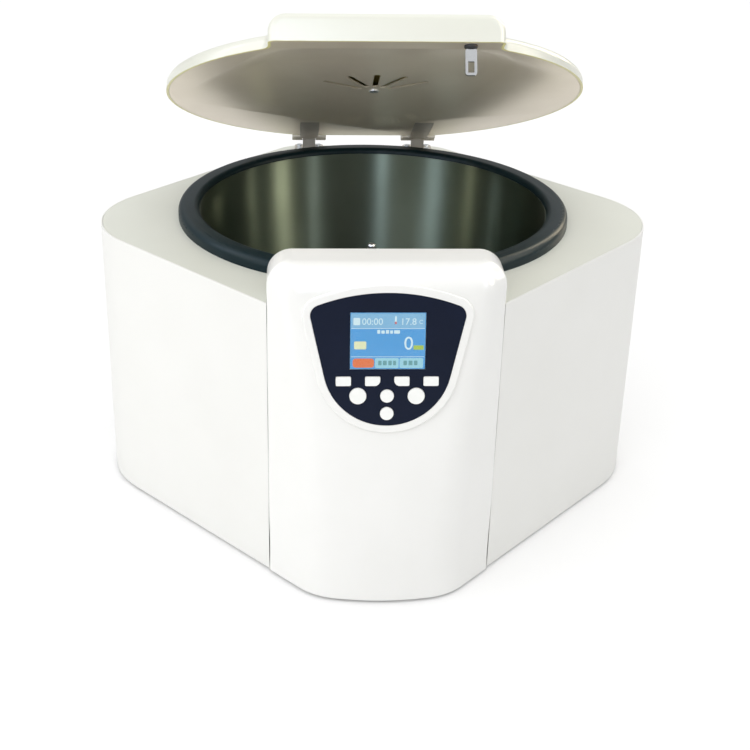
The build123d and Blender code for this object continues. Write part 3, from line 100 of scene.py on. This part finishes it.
# Sizes in millimetres. tone: two sRGB colours mixed in soft patches of "patch" mm.
# grain: size of the surface texture, stretched along x, y, z; depth: its height.
finishes = {
    # baked epoxy-polyester enamel on sheet: a soft sheen with a faint orange peel
    "bakedEnamel": {
        "tone": ("#EFEFEC", "#E9E9E5"), "patch": 90, "grain": 2.2, "depth": 0.012,
        "rough": 0.36, "spread": 0.05,
    },
    # the deck's enamel is the sides' enamel set a shade greyer, as painted shade on the top, and duller
    "deckEnamelPaintedShade": {
        "tone": ("#D9DBD2", "#D3D5CB"), "patch": 70, "grain": 2.2, "depth": 0.012,
        "rough": 0.42, "spread": 0.05,
    },
    # zinc-coated sheet with its soft spangle
    "galvanisedSheet": {
        "tone": ("#A9ADAF", "#8F9496"), "patch": 9, "grain": 5, "depth": 0.004, "rough": 0.42,
        "spread": 0.1, "metal": 0.9,
    },
    # ABS moulding from a lightly sparked tool: satin, nearly white
    "mouldedAbs": {
        "tone": ("#F4F4F2", "#EEEEEB"), "patch": 80, "grain": 0.9, "depth": 0.006,
        "rough": 0.22, "spread": 0.04,
    },
    "lidAbs": {
        "tone": ("#E4E5DB", "#DFE0D4"), "patch": 80, "grain": 0.9, "depth": 0.008,
        "rough": 0.30, "spread": 0.04,
        # painted highlight: the lid's faces turned the way its underside faces take a cream tone, standing
        # for a lit line along the lid's lower edge
        "edge": ("#E6DFA0", (0, -sin(radians(28)), -cos(radians(28)))),
    },
    # satin stainless sheet, pressed: warm grey, brushed from front to back
    "pressedSteel": {
        "tone": ("#F0E5D1", "#E5D9C3"), "patch": 45, "grain": 2.0, "stretch": (1, 0.06, 1),
        "depth": 0.00015, "rough": 0.29, "spread": 0.012, "metal": 0.5,
    },
    # deep-drawn stainless bowl, polished round its axis: light draws out into upright streaks; its tone is
    # set dark and green-grey as painted shade of the dim inside of the bowl
    "drawnSteelPaintedShade": {
        "tone": ("#767F72", "#666F61"), "patch": 60, "grain": 1.1, "stretch": (0.05, 0.05, 1),
        "depth": 0.002, "rough": 0.38, "spread": 0.04, "metal": 1.0, "anisotropic": 1.0,
    },
    # EPDM seal, dipped smooth: dark grey-green with a broad soft shine
    "sealRubber": {
        "tone": ("#0E252B", "#0B1F25"), "patch": 40, "grain": 0.8, "depth": 0.01, "rough": 0.36,
        "spread": 0.06, "specular": 0.14,
    },
    "footRubber": {
        "tone": ("#1B1B1B", "#141414"), "patch": 12, "grain": 0.7, "depth": 0.03, "rough": 0.8,
        "spread": 0.06,
    },
    # primed and coated structural steel inside the cabinet
    "greyPrimer": {
        "tone": ("#5F6264", "#54575A"), "patch": 30, "grain": 1.4, "depth": 0.02, "rough": 0.6,
        "spread": 0.08,
    },
    "blackCoat": {
        "tone": ("#1C1D1E", "#141516"), "patch": 25, "grain": 1.0, "depth": 0.02, "rough": 0.5,
        "spread": 0.08,
    },
    # ground steel: fine straight lines
    "groundSteel": {
        "tone": ("#A8A9A8", "#979897"), "patch": 12, "grain": 0.5, "stretch": (1, 1, 0.1),
        "depth": 0.003, "rough": 0.28, "spread": 0.08, "metal": 1.0,
    },
    # hinge steel, tumbled: duller and browner than the fasteners
    "tumbledSteel": {
        "tone": ("#C6C1B8", "#B3AEA5"), "patch": 8, "grain": 0.6, "depth": 0.012, "rough": 0.42,
        "spread": 0.1, "metal": 0.6,
    },
    # zinc plating with its faint blue-grey clouding
    "zincPlate": {
        "tone": ("#C3C6C8", "#AEB2B5"), "patch": 6, "grain": 0.6, "depth": 0.006, "rough": 0.3,
        "spread": 0.1, "metal": 1.0,
    },
    # bright chromium plate on the striker
    "brightPlate": {
        "tone": ("#B4B6B8", "#A7A9AB"), "patch": 10, "grain": 0.5, "depth": 0.002,
        "rough": 0.12, "spread": 0.04, "metal": 1.0,
    },
    # clear-anodised turned aluminium: fine rings and a milky sheen
    "anodisedAluminium": {
        "tone": ("#C2C5C8", "#B4B8BB"), "patch": 30, "grain": 0.8, "stretch": (0.08, 0.08, 1),
        "depth": 0.003, "rough": 0.34, "spread": 0.06, "metal": 1.0,
    },
    "extrudedAluminium": {
        "tone": ("#A9ACAE", "#9B9EA1"), "patch": 14, "grain": 0.6, "stretch": (1, 0.05, 1),
        "depth": 0.006, "rough": 0.45, "spread": 0.08, "metal": 1.0,
    },
    # glass-filled nylon: black with a fine tooth
    "blackNylon": {
        "tone": ("#191A1B", "#121314"), "patch": 10, "grain": 0.5, "depth": 0.015,
        "rough": 0.55, "spread": 0.08,
    },
    "glossBlack": {
        "tone": ("#121314", "#0E0F10"), "patch": 15, "grain": 0.6, "depth": 0.004,
        "rough": 0.22, "spread": 0.05,
    },
    # polyester overlay film, printed dark blue behind a glossy face
    "overlayFilm": {
        "tone": ("#111A30", "#0D1526"), "patch": 35, "grain": 1.6, "depth": 0.003,
        "rough": 0.24, "spread": 0.04, "specular": 0.15,
    },
    # silicone keycaps, sprayed and lightly glossy
    "keySilicone": {
        "tone": ("#F7F8F5", "#F0F1ED"), "patch": 8, "grain": 0.5, "depth": 0.006, "rough": 0.42,
        "spread": 0.05,
    },
    # solder-masked glass epoxy: green with the weave just showing
    "solderMask": {
        "tone": ("#0F4A2A", "#0B3D22"), "patch": 5, "grain": 0.7, "depth": 0.01, "rough": 0.35,
        "spread": 0.08,
    },
    "nickelBrass": {
        "tone": ("#C9BC94", "#B9AC84"), "patch": 3, "grain": 0.3, "depth": 0.003, "rough": 0.25,
        "spread": 0.06, "metal": 1.0,
    },
    # natural polypropylene: milky, waxy, a little light comes through
    "naturalPolypropylene": {
        "tone": ("#ECEBE4", "#E2E1D9"), "patch": 14, "grain": 0.6, "depth": 0.006, "rough": 0.4,
        "spread": 0.05, "through": 0.25,
    },
    # soda-lime slide glass and the display's cover glass
    "slideGlass": {
        "tone": ("#F2FAF8", "#EAF5F2"), "patch": 20, "grain": 1.0, "depth": 0.0005,
        "rough": 0.03, "spread": 0.01, "glass": 1.0,
    },
}

# Lit display: each colour is a light behind fine pixels.
pixelTones = {
    "skyPixels": ("#3F9FE4", "#3897DF"),
    "headerPixels": ("#86BCE4", "#7CB4DF"),
    "palePixels": ("#A3D6E8", "#9BD0E4"),
    "whitePixels": ("#E4F2FB", "#D8ECF8"),
    "orangePixels": ("#F4701F", "#EE6817"),
    "limePixels": ("#B5CC3A", "#ABC432"),
    "creamPixels": ("#F3EFC4", "#EDE8B6"),
    "redPixels": ("#D9707A", "#D2656F"),
    "tealPixels": ("#5E9FA8", "#56979F"),
}
pixelLook = {"patch": 1.2, "grain": 0.5, "depth": 0.001, "rough": 0.3, "spread": 0.05, "glow": 0.95}
for pixelName, pixelTone in pixelTones.items():
    finishes[pixelName] = {"tone": pixelTone, **pixelLook}


def makeFinish(name, look):
    material = bpy.data.materials.new(name)
    material.use_nodes = True
    tree = material.node_tree
    tree.nodes.clear()
    place = addNode(tree, "ShaderNodeTexCoord").outputs["Object"]
    stretch = addNode(tree, "ShaderNodeMapping", {"Scale": look.get("stretch", (1, 1, 1))}, {"Vector": place})
    cloud = addNode(tree, "ShaderNodeTexNoise", {
        "Scale": 1 / (look["patch"] * mm), "Detail": 3.0,
    }, {"Vector": place})
    grain = addNode(tree, "ShaderNodeTexNoise", {
        "Scale": 1 / (look["grain"] * mm), "Detail": 2.0,
    }, {"Vector": stretch.outputs["Vector"]})
    lightTone, darkTone = look["tone"]
    colour = addNode(tree, "ShaderNodeMix", {
        "data_type": "RGBA", 6: toLinear(lightTone), 7: toLinear(darkTone),
    }, {0: cloud.outputs["Fac"]})
    # painted highlight: faces turned along the given direction take the given cream tone
    if look.get("edge"):
        paintedHighlightTone, facing = look["edge"]
        turned = addNode(tree, "ShaderNodeVectorMath", {"operation": "DOT_PRODUCT", 1: facing},
                         {0: addNode(tree, "ShaderNodeTexCoord").outputs["Normal"]})
        paintedHighlightMask = addNode(tree, "ShaderNodeMath", {
            "operation": "GREATER_THAN", 1: 0.9,
        }, {0: turned.outputs["Value"]})
        colour = addNode(tree, "ShaderNodeMix", {"data_type": "RGBA", 7: toLinear(paintedHighlightTone)},
                         {0: paintedHighlightMask.outputs["Value"], 6: colour.outputs[2]})
    rough = addNode(tree, "ShaderNodeMapRange", {
        "To Min": max(look["rough"] - look["spread"], 0.01), "To Max": look["rough"] + look["spread"],
    }, {"Value": grain.outputs["Fac"]})
    bump = addNode(tree, "ShaderNodeBump", {
        "Strength": 0.6, "Distance": look["depth"] * mm,
    }, {"Height": grain.outputs["Fac"]})
    shader = addNode(tree, "ShaderNodeBsdfPrincipled", {
        "Metallic": look.get("metal", 0.0),
        "Anisotropic": look.get("anisotropic", 0.0),
        "Anisotropic Rotation": 0.25,
        "Transmission Weight": look.get("glass", 0.0),
        "Specular IOR Level": look.get("specular", 0.5),
        "Subsurface Weight": look.get("through", 0.0),
        "Subsurface Scale": 2 * mm,
    }, {
        "Base Color": colour.outputs[2],
        "Roughness": rough.outputs["Result"],
        "Normal": bump.outputs["Normal"],
    })
    if look.get("glow"):
        shader.inputs["Emission Strength"].default_value = look["glow"]
        tree.links.new(colour.outputs[2], shader.inputs["Emission Color"])
        tree.links.remove(shader.inputs["Base Color"].links[0])
        shader.inputs["Base Color"].default_value = toLinear("#101418")
    if look.get("anisotropic"):
        tangent = addNode(tree, "ShaderNodeTangent", {"direction_type": "RADIAL", "axis": "Z"})
        tree.links.new(tangent.outputs["Tangent"], shader.inputs["Tangent"])
    addNode(tree, "ShaderNodeOutputMaterial", None, {"Surface": shader.outputs["BSDF"]})
    return material


materials = {name: makeFinish(name, look) for name, look in finishes.items()}

nodeFinishes = {
    "bakedEnamel": ("left_side_panel", "right_side_panel", "rear_panel"),
    "deckEnamelPaintedShade": ("top_deck",),
    "galvanisedSheet": ("base_plate",),
    "mouldedAbs": ("front_fascia",),
    "lidAbs": ("lid_cover",),
    "pressedSteel": ("lid_liner",),
    "drawnSteelPaintedShade": ("bowl",),
    "sealRubber": ("bowl_gasket",),
    "footRubber": ("rubber_feet", "motor_mounts", "shaft_boot"),
    "greyPrimer": ("guard_ring", "chassis_plate", "chassis_posts"),
    "blackCoat": ("motor_housing", "lock_solenoid"),
    "groundSteel": ("motor_bearings", "rotor_shaft", "lock_bolt"),
    "tumbledSteel": (
        "hinge_base_left", "hinge_base_right", "hinge_strap_left", "hinge_strap_right", "hinge_pins",
    ),
    "zincPlate": ("hinge_screws", "rear_screws", "lock_frame", "liner_rivet", "slide_clips"),
    "brightPlate": ("striker",),
    "anodisedAluminium": ("rotor_body", "knob_cap"),
    "extrudedAluminium": ("heat_sink",),
    "blackNylon": ("vent_grille", "power_inlet", "switch_frame", "rotor_knob", "striker_stud"),
    "glossBlack": ("lcd_module", "power_rocker"),
    "overlayFilm": ("control_overlay",),
    "keySilicone": (
        "soft_key_1", "soft_key_2", "soft_key_3", "soft_key_4",
        "minus_key", "plus_key", "start_key", "stop_key",
    ),
    "solderMask": ("control_board", "drive_board"),
    "nickelBrass": ("inlet_pins",),
    "naturalPolypropylene": ("sample_funnels",),
    "slideGlass": ("glass_slides", "display_window"),
}
finishOf = {node: finish for finish, names in nodeFinishes.items() for node in names}
bodyOf = {node: body for body, names in frame["record"]["behaviour"]["bodies"].items() for node in names}

for name, node in nodes.items():
    node.data.materials.clear()
    node.data.materials.append(materials[finishOf[name]])
print("materials made:", len(materials))


def addPiece(name, mesh, body, finish, replaced=()):
    if isinstance(mesh, bmesh.types.BMesh):
        data = bpy.data.meshes.new(name)
        mesh.to_mesh(data)
        mesh.free()
        mesh = data
    piece = bpy.data.objects.new(name, mesh)
    bpy.context.scene.collection.objects.link(piece)
    mesh.materials.clear()
    mesh.materials.append(materials[finish])
    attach(piece, body)
    if replaced:
        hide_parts(*replaced)


# Smoothed skins: what is welded and merged, and the angle from which an edge stays sharp.
skin = {"weld": 0.002, "flat": 0.5, "sharp": 30}


def smoothCopy(node, name):
    shape = bmesh.new()
    shape.from_mesh(nodes[node].data)
    bmesh.ops.remove_doubles(shape, verts=shape.verts, dist=skin["weld"] * mm)
    bmesh.ops.dissolve_limit(shape, angle_limit=radians(skin["flat"]), verts=shape.verts, edges=shape.edges)
    for face in shape.faces:
        face.smooth = True
    for edge in shape.edges:
        edge.smooth = len(edge.link_faces) == 2 and edge.calc_face_angle() < radians(skin["sharp"])
    addPiece(name, shape, bodyOf[node], finishOf[node], (node,))


smoothedNodes = (
    "left_side_panel", "right_side_panel", "top_deck", "front_fascia", "lid_cover", "lid_liner",
    "control_overlay", "bowl", "bowl_gasket", "rotor_body", "rotor_knob", "knob_cap",
    "sample_funnels", "shaft_boot", "rubber_feet", "hinge_base_left", "hinge_base_right",
    "hinge_strap_left", "hinge_strap_right", "hinge_pins", "hinge_screws", "rear_screws",
    "striker_stud", "liner_rivet", "striker", "soft_key_1", "soft_key_2", "soft_key_3",
    "soft_key_4", "minus_key", "plus_key", "start_key", "stop_key",
)
for node in smoothedNodes:
    smoothCopy(node, node.replace("_", "") + "Skin")
print("skins made")


# Lengths in millimetres. A plate: left, top, width, height, corner radius, from the screen's upper left.
# A mark's lift is from the display's face.
display = {
    "middle": (0.0, 65.0),
    "size": (67.0, 52.0),
    "lean": 10.0,
    "panel": (0.0, -257.0, 200.0),
    "face": 0.55,
    "cover": {"lift": 1.0, "thick": 0.3, "corner": 0.4},
    "figures": {"lift": 0.12, "thick": 0.02},
}
marks = {
    "skyPixels": {"lift": 0.0, "thick": 0.03, "plates": (
        (0.3, 0.3, 66.4, 51.4, 0.3),
    )},
    "headerPixels": {"lift": 0.03, "thick": 0.03, "plates": (
        (1.0, 1.0, 65.0, 13.2, 0.3),
    )},
    "whitePixels": {"lift": 0.06, "thick": 0.03, "plates": (
        (1.0, 14.4, 65.0, 0.5, 0.1),
        (1.0, 40.2, 65.0, 0.4, 0.1),
        (2.9, 5.0, 6.0, 6.6, 0.9),
        (39.4, 3.4, 1.6, 6.0, 0.7),
        (24.0, 15.9, 2.6, 3.4, 0.5),
        (27.6, 16.4, 3.0, 2.9, 0.6),
        (31.6, 16.0, 2.8, 3.3, 0.5),
        (35.4, 16.4, 2.4, 2.9, 0.5),
        (38.8, 16.2, 5.2, 3.1, 0.6),
    )},
    "redPixels": {"lift": 0.06, "thick": 0.03, "plates": (
        (39.2, 8.4, 2.0, 2.4, 0.9),
        (4.9, 7.2, 2.0, 2.0, 0.6),
    )},
    "limePixels": {"lift": 0.06, "thick": 0.03, "plates": (
        (56.2, 30.0, 9.0, 4.0, 0.6),
    )},
    "creamPixels": {"lift": 0.06, "thick": 0.03, "plates": (
        (3.7, 26.4, 10.8, 7.2, 1.0),
    )},
    "orangePixels": {"lift": 0.06, "thick": 0.05, "plates": (
        (2.6, 42.0, 19.0, 8.4, 2.6),
    )},
    "palePixels": {"lift": 0.06, "thick": 0.05, "plates": (
        (22.4, 41.6, 21.0, 9.2, 1.2),
        (44.2, 41.6, 20.8, 9.2, 1.2),
    )},
    "tealPixels": {"lift": 0.09, "thick": 0.05, "plates": (
        (25.2, 44.0, 3.0, 4.2, 0.4),
        (29.4, 44.0, 3.4, 4.2, 0.4),
        (34.2, 44.0, 3.0, 4.2, 0.4),
        (38.4, 44.0, 2.6, 4.2, 0.4),
        (47.6, 44.0, 3.2, 4.2, 0.4),
        (52.2, 44.0, 3.4, 4.2, 0.4),
        (57.0, 44.0, 3.0, 4.2, 0.4),
    )},
}
# Words, left edge, base line and height of the figures.
figures = (
    ("00:00", 10.4, 11.2, 8.4),
    ("17.8", 44.2, 11.2, 8.4),
    ("C", 60.6, 10.4, 5.2),
    ("0", 47.6, 33.8, 17.0),
)


def onScreen(left, top, out):
    lean = radians(display["lean"])
    across = Vector((1, 0, 0))
    up = Vector((0, sin(lean), cos(lean)))
    outward = Vector((0, -cos(lean), sin(lean)))
    x = display["middle"][0] - display["size"][0] / 2 + left
    y = display["middle"][1] + display["size"][1] / 2 - top
    place = Vector(display["panel"]) + across * x + up * y + outward * out
    return Matrix.Translation(place * mm) @ Matrix((across, up, outward)).transposed().to_4x4()


def addPlate(shape, width, height, corner, thick, place):
    corners = bmesh.ops.create_grid(shape, x_segments=1, y_segments=1, size=0.5)["verts"]
    bmesh.ops.scale(shape, vec=(width * mm, height * mm, 1), verts=corners)
    rounded = bmesh.ops.bevel(shape, geom=corners, offset=corner * mm, segments=3, profile=0.5,
                              affect="VERTICES", material=-1)
    face = rounded["verts"][0].link_faces[0]
    outline = list(face.verts)
    raised = bmesh.ops.extrude_face_region(shape, geom=[face])["geom"]
    top = [part for part in raised if isinstance(part, bmesh.types.BMVert)]
    bmesh.ops.translate(shape, vec=(0, 0, thick * mm), verts=top)
    bmesh.ops.transform(shape, matrix=place, verts=outline + top)


def addDisplay():
    for finish, mark in marks.items():
        shape = bmesh.new()
        out = display["face"] + mark["lift"]
        for left, top, width, height, corner in mark["plates"]:
            middle = onScreen(left + width / 2, top + height / 2, out)
            addPlate(shape, width, height, corner, mark["thick"], middle)
        bmesh.ops.recalc_face_normals(shape, faces=shape.faces)
        addPiece("screen" + finish.removesuffix("Pixels").capitalize(), shape, "housing", finish)
    shape = bmesh.new()
    for words, left, base, size in figures:
        text = bpy.data.curves.new("figures", "FONT")
        text.body = words
        text.size = size * mm
        text.extrude = display["figures"]["thick"] * mm
        holder = bpy.data.objects.new("figures", text)
        bpy.context.scene.collection.objects.link(holder)
        bpy.context.view_layer.update()
        solved = holder.evaluated_get(bpy.context.evaluated_depsgraph_get())
        drawn = bpy.data.meshes.new_from_object(solved)
        drawn.transform(onScreen(left, base, display["face"] + display["figures"]["lift"]))
        shape.from_mesh(drawn)
        bpy.data.objects.remove(holder)
    addPiece("screenFigures", shape, "housing", "whitePixels")
    glass = bmesh.new()
    width, height = display["size"]
    cover = display["cover"]
    middle = onScreen(width / 2, height / 2, cover["lift"])
    addPlate(glass, width, height, cover["corner"], cover["thick"], middle)
    bmesh.ops.recalc_face_normals(glass, faces=glass.faces)
    addPiece("screenGlass", glass, "housing", "slideGlass", ("display_window",))


addDisplay()
print("display drawn")


# Tall soft boxes, in metres: place (x, y), width, height, the middle's height, brightness, tint.
softBoxes = {
    "wideWarm": ((2.14, -0.94), 0.5, 2.2, 1.6, 19.0, "#FFF6E0"),
    "farWarm": ((2.35, 0.1), 0.2, 2.2, 1.6, 18.0, "#FFF6E0"),
    "backWarm": ((1.7, 1.5), 0.25, 2.2, 1.6, 24.0, "#FFF0D0"),
    "farCool": ((-2.3, 0.35), 0.15, 2.2, 1.6, 18.0, "#E8F0FF"),
    "narrow": ((1.52, -1.74), 0.14, 2.2, 1.6, 16.0, "#F4F8FF"),
    "cool": ((-0.39, -2.26), 0.22, 2.2, 1.6, 18.0, "#DCE8FF"),
    "wideCool": ((-1.75, -1.51), 0.5, 2.2, 1.6, 11.0, "#DCE8FF"),
    "shortWarm": ((-2.29, -0.52), 0.14, 1.6, 1.3, 16.0, "#FFF3D8"),
}
# Metres. A lamp: place, size, power.
studio = {
    "floor": "#E4E4E4",
    "floorHalf": 9,
    "floorGlow": 0.12,
    "horizon": 0.19,
    "overhead": 1.42,
    "key": ((-1.3, -2.2, 1.7), 1.6, 12.5),
    "low": ((-1.0, -0.6, 0.15), 0.4, 1.3),
    "target": (0, 0, 0.25),
    "boxTarget": (0, 0.028, 0.25),
}


def addLamp(name, place, target, width, height, power, tint="#FFFFFF", streak=False):
    light = bpy.data.lights.new(name, "AREA")
    light.shape = "RECTANGLE"
    light.size = width
    light.size_y = height
    light.energy = power
    light.color = toLinear(tint)[:3]
    lamp = bpy.data.objects.new(name, light)
    bpy.context.scene.collection.objects.link(lamp)
    lamp.visible_diffuse = not streak
    turn = (Vector(target) - Vector(place)).to_track_quat("-Z", "Y")
    lamp.matrix_world = Matrix.Translation(place) @ turn.to_matrix().to_4x4()


def addStudio():
    floor = bmesh.new()
    bmesh.ops.create_grid(floor, x_segments=1, y_segments=1, size=studio["floorHalf"])
    data = bpy.data.meshes.new("floor")
    floor.to_mesh(data)
    floor.free()
    sheet = bpy.data.objects.new("floor", data)
    bpy.context.scene.collection.objects.link(sheet)
    paper = bpy.data.materials.new("paper")
    paper.use_nodes = True
    shader = paper.node_tree.nodes["Principled BSDF"]
    shader.inputs["Base Color"].default_value = toLinear(studio["floor"])
    shader.inputs["Roughness"].default_value = 0.9
    shader.inputs["Specular IOR Level"].default_value = 0.1
    shader.inputs["Emission Color"].default_value = (1, 1, 1, 1)
    seen = addNode(paper.node_tree, "ShaderNodeLightPath").outputs["Is Camera Ray"]
    glow = addNode(paper.node_tree, "ShaderNodeMath", {
        "operation": "MULTIPLY", 1: studio["floorGlow"],
    }, {0: seen})
    paper.node_tree.links.new(glow.outputs["Value"], shader.inputs["Emission Strength"])
    data.materials.append(paper)
    world = bpy.data.worlds.new("studio")
    world.use_nodes = True
    tree = world.node_tree
    place = addNode(tree, "ShaderNodeTexCoord").outputs["Generated"]
    height = addNode(tree, "ShaderNodeSeparateXYZ", None, {"Vector": place}).outputs["Z"]
    level = addNode(tree, "ShaderNodeMapRange", {
        "From Min": 0.0, "From Max": 0.8, "To Min": studio["horizon"], "To Max": studio["overhead"],
    }, {"Value": height})
    seen = addNode(tree, "ShaderNodeLightPath").outputs["Is Camera Ray"]
    shown = addNode(tree, "ShaderNodeMix", {
        "data_type": "FLOAT", 3: 1.0,
    }, {0: seen, 2: level.outputs["Result"]})
    tree.nodes["Background"].inputs["Color"].default_value = (1, 1, 1, 1)
    tree.links.new(shown.outputs[0], tree.nodes["Background"].inputs["Strength"])
    bpy.context.scene.world = world
    for name in ("key", "low"):
        place, size, power = studio[name]
        addLamp(name, place, studio["target"], size, size, power)
    for name, (spot, width, height, middle, level, tint) in softBoxes.items():
        power = level * pi * width * height
        addLamp(name, (*spot, middle), studio["boxTarget"], width, height, power, tint, True)


addStudio()
bpy.context.scene.view_settings.view_transform = "Standard"
print("studio lit")
